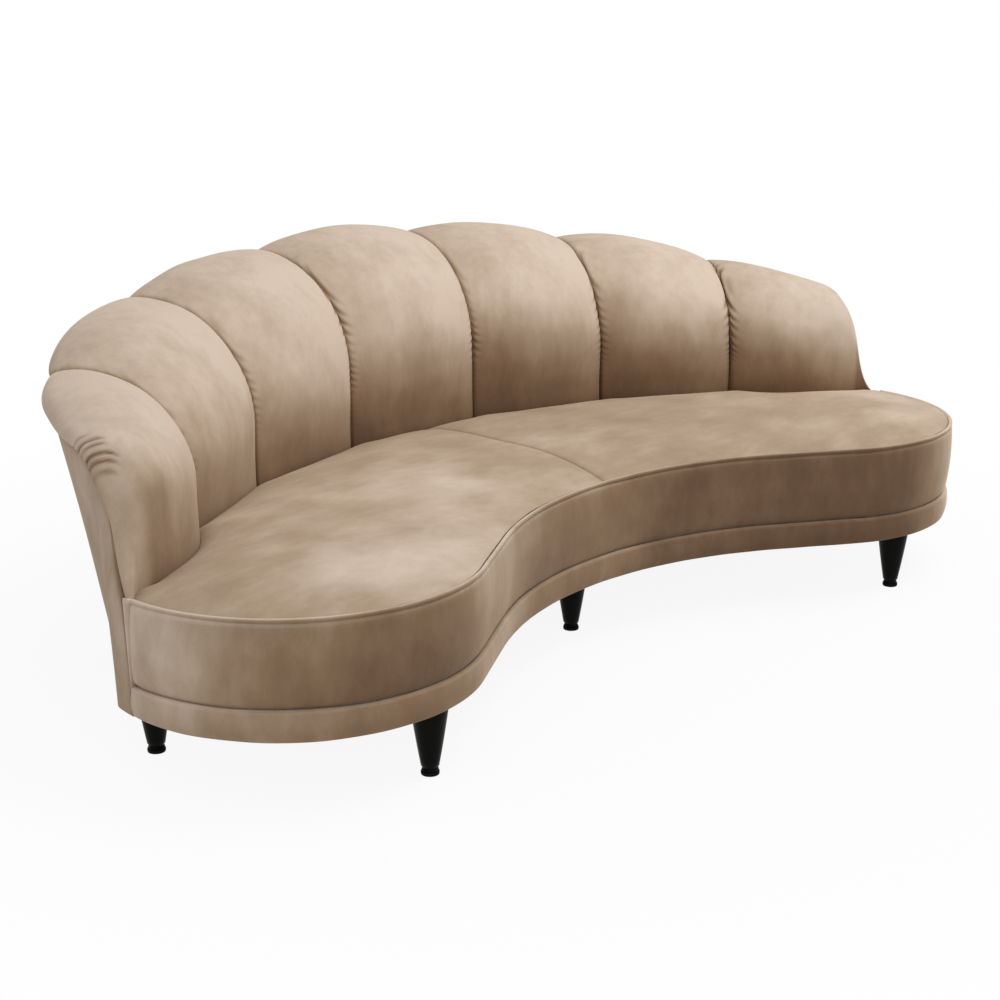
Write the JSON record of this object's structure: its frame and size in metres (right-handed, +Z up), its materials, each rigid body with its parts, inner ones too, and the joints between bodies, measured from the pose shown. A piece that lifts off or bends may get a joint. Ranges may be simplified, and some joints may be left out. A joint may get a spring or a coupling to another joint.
{
  "type": "curved sofa",
  "caption": "Curved sofa with a channelled wrap-around back under a scalloped crest, a tight kidney-shaped seat, a padded front border and base band, and short round tapered legs.",
  "frame": {"origin": "on the floor, under the middle of the sofa's bounding box", "axes": "+X along the sofa's length, +Y from the front towards the back, +Z up"},
  "size_m": [2.2836, 1.2122, 0.7975],
  "materials": {
    "velvet": "soft two-tone velvet nap",
    "lacquer": "satin black lacquer",
    "glide": "matte",
    "beech": "planed",
    "plywood": "sanded",
    "webbing": "woven",
    "foam": "open cell foam",
    "lining": "plain",
    "steel": "plain"
  },
  "bodies": {
    "root": {"seat_pad_right": "velvet", "seat_pad_left": "velvet", "seat_piping": "velvet", "front_border": "velvet", "base_band": "velvet", "back_channel_1": "velvet", "back_channel_2": "velvet", "back_channel_3": "velvet", "back_channel_4": "velvet", "back_channel_5": "velvet", "back_channel_6": "velvet", "back_channel_7": "velvet", "outer_back_panel": "velvet", "back_skin_board": "plywood", "back_top_rail": "beech", "back_rib_1": "plywood", "back_rib_2": "plywood", "back_rib_3": "plywood", "back_rib_4": "plywood", "back_rib_5": "plywood", "back_rib_6": "plywood", "back_rib_7": "plywood", "back_rib_8": "plywood", "base_board": "plywood", "lining_cloth": "lining", "front_facing_board": "plywood", "front_seat_rail": "beech", "rear_seat_rail": "beech", "seat_tie_left": "beech", "seat_tie_right": "beech", "seat_webbing": "webbing", "seat_foam_core": "foam", "leg_front_left": "lacquer", "leg_front_centre": "lacquer", "leg_front_right": "lacquer", "leg_side_left": "lacquer", "leg_side_right": "lacquer", "leg_rear_left": "lacquer", "leg_rear_right": "lacquer", "glide_front_left": "glide", "glide_front_centre": "glide", "glide_front_right": "glide", "glide_side_left": "glide", "glide_side_right": "glide", "glide_rear_left": "glide", "glide_rear_right": "glide", "leg_bolt_front_left": "steel", "leg_bolt_front_centre": "steel", "leg_bolt_front_right": "steel", "leg_bolt_side_left": "steel", "leg_bolt_side_right": "steel", "leg_bolt_rear_left": "steel", "leg_bolt_rear_right": "steel", "leg_block_front_left": "beech", "leg_block_front_centre": "beech", "leg_block_front_right": "beech", "leg_block_side_left": "beech", "leg_block_side_right": "beech", "leg_block_rear_left": "beech", "leg_block_rear_right": "beech"}
  },
  "joints": []
}
